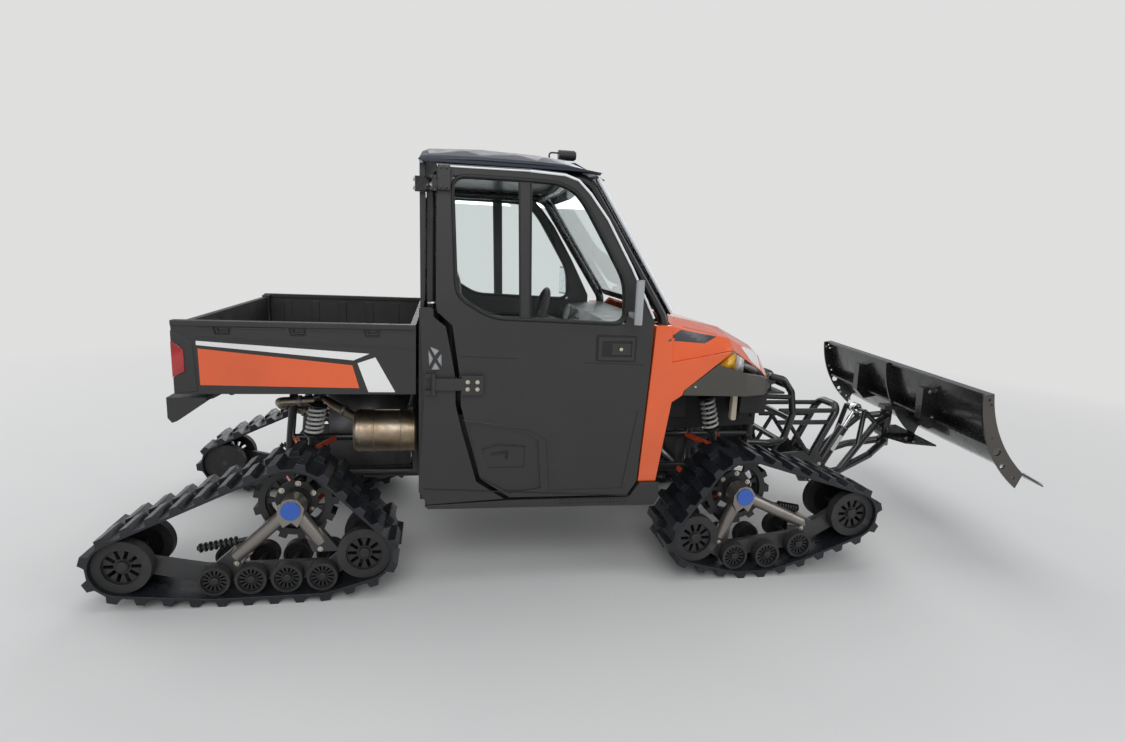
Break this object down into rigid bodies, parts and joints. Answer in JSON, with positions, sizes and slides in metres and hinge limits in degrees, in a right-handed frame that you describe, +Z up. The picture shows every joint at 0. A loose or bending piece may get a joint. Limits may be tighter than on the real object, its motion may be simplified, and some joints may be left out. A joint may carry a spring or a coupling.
{
  "type": "tracked utility terrain vehicle",
  "caption": "Side-by-side utility vehicle on rubber track units, with an enclosed cab, a tilting dump bed with tailgate and a lifting, swivelling front snow plough.",
  "frame": {"origin": "on the ground at the centre of the overall bounding box", "axes": "+X forward, +Y to the vehicle's left, +Z up"},
  "size_m": [4.6707, 1.877, 2.015],
  "materials": {
    "frame_black": "satin black powder coat",
    "black_plastic": "fine-grained charcoal plastic",
    "roof_gloss": "gloss blue-black",
    "orange": "gloss orange moulded-in colour",
    "taupe": "grey-brown moulded plastic",
    "clear_glass": "clear safety glass",
    "mirror_shell": "black plastic shell",
    "seat_vinyl": "black vinyl",
    "lamp_lens": "amber and clear lens",
    "tail_red": "red lens",
    "arm_red": "orange-red paint",
    "spring_grey": "pale grey coils on a black damper",
    "cast_grey": "rough dark casting",
    "muffler_tan": "heat-stained steel",
    "belt_rubber": "black track rubber",
    "track_frame": "warm grey metallic paint",
    "wheel_black": "black wheels with rubber rims",
    "plough_black": "gloss black paint",
    "cylinder": "black barrel",
    "chrome_rod": "hard chrome"
  },
  "bodies": {
    "root": {"chassis_frame": "frame_black", "floor_tub": "black_plastic", "rocker_sills": "black_plastic", "cab_frame": "frame_black", "cab_rear_wall": "black_plastic", "rear_glass": "clear_glass", "quarter_panels": "black_plastic", "roof": "roof_gloss", "roof_lamp": "frame_black", "windshield": "clear_glass", "dashboard": "black_plastic", "seat_cushion": "seat_vinyl", "seat_back": "seat_vinyl", "hood": "orange", "side_cowls": "orange", "front_fascia": "taupe", "headlamps": "lamp_lens", "grille_guard": "frame_black", "winch": "cast_grey", "radiator": "cast_grey", "plough_mount": "plough_black", "engine_block": "cast_grey", "exhaust": "muffler_tan", "gearcases": "cast_grey", "half_shafts": "cast_grey", "suspension_arms": "arm_red", "shocks": "spring_grey", "rear_bumper": "black_plastic", "hitch_receiver": "frame_black", "rear_track_belts": "belt_rubber", "rear_track_wheels": "wheel_black", "rear_track_frames": "track_frame", "rear_sprockets": "wheel_black", "rear_knuckles": "cast_grey"},
    "door_right": {"door_panel_right": "black_plastic", "door_glass_right": "clear_glass", "door_mirror_right": "mirror_shell"},
    "door_left": {"door_panel_left": "black_plastic", "door_glass_left": "clear_glass", "door_mirror_left": "mirror_shell"},
    "bed": {"bed_tub": "black_plastic", "tail_lamps": "tail_red"},
    "tailgate_body": {"tailgate": "black_plastic"},
    "steer_left": {"front_belt_left": "belt_rubber", "front_wheels_left": "wheel_black", "front_frame_left": "track_frame", "front_sprocket_left": "wheel_black", "front_knuckle_left": "cast_grey"},
    "steer_right": {"front_belt_right": "belt_rubber", "front_wheels_right": "wheel_black", "front_frame_right": "track_frame", "front_sprocket_right": "wheel_black", "front_knuckle_right": "cast_grey"},
    "steering_wheel_body": {"steering_wheel": "mirror_shell"},
    "plough_arms": {"push_frame": "plough_black"},
    "blade_body": {"blade": "plough_black"},
    "cylinder_barrel": {"lift_barrel": "cylinder"},
    "cylinder_rod": {"lift_rod": "chrome_rod"}
  },
  "joints": [
    {"name": "door_right_hinge", "type": "hinge", "parent": "root", "child": "door_right", "pos_m": [-0.934, -0.737, 1.075], "axis": [0, 0, -1], "range_deg": [0, 75]},
    {"name": "door_left_hinge", "type": "hinge", "parent": "root", "child": "door_left", "pos_m": [-0.934, 0.737, 1.075], "axis": [0, 0, 1], "range_deg": [0, 75]},
    {"name": "bed_tilt", "type": "hinge", "parent": "root", "child": "bed", "pos_m": [-1.956, 0, 0.872], "axis": [0, -1, 0], "range_deg": [0, 40]},
    {"name": "tailgate_hinge", "type": "hinge", "parent": "bed", "child": "tailgate_body", "pos_m": [-1.949, 0, 0.933], "axis": [0, -1, 0], "range_deg": [0, 90]},
    {"name": "steer_left_kingpin", "type": "hinge", "parent": "root", "child": "steer_left", "pos_m": [0.537, 0.455, 0.415], "axis": [0, 0, 1], "range_deg": [-20, 20]},
    {"name": "steer_right_kingpin", "type": "hinge", "parent": "root", "child": "steer_right", "pos_m": [0.537, -0.455, 0.415], "axis": [0, 0, 1], "range_deg": [-20, 20]},
    {"name": "steering_column", "type": "hinge", "parent": "root", "child": "steering_wheel_body", "pos_m": [-0.288, 0.33, 1.128], "axis": [-0.9615, 0, 0.2747], "range_deg": [-261, 261]},
    {"name": "plough_lift", "type": "hinge", "parent": "root", "child": "plough_arms", "pos_m": [1.28, 0, 0.27], "axis": [0, -1, 0], "range_deg": [-26, 6]},
    {"name": "blade_swivel", "type": "hinge", "parent": "plough_arms", "child": "blade_body", "pos_m": [1.86, 0, 0.575], "axis": [0, 0, 1], "range_deg": [-20, 38]},
    {"name": "cylinder_hinge", "type": "hinge", "parent": "root", "child": "cylinder_barrel", "pos_m": [1.41, 0, 0.245], "axis": [0, -1, 0], "range_deg": [-30.9, 7.9]},
    {"name": "cylinder_stroke", "type": "slide", "parent": "cylinder_barrel", "child": "cylinder_rod", "axis": [0.4893, 0, 0.8721], "range_m": [-0.0533, 0.0138]}
  ],
  "couplings": [
    {"joint": "steer_right_kingpin", "follows": "steer_left_kingpin", "ratio": 1},
    {"joint": "steering_column", "follows": "steer_left_kingpin", "ratio": 13},
    {"joint": "cylinder_hinge", "follows": "plough_lift", "ratio": 1.15},
    {"joint": "cylinder_stroke", "follows": "plough_lift", "m_per_rad": 0.113}
  ]
}
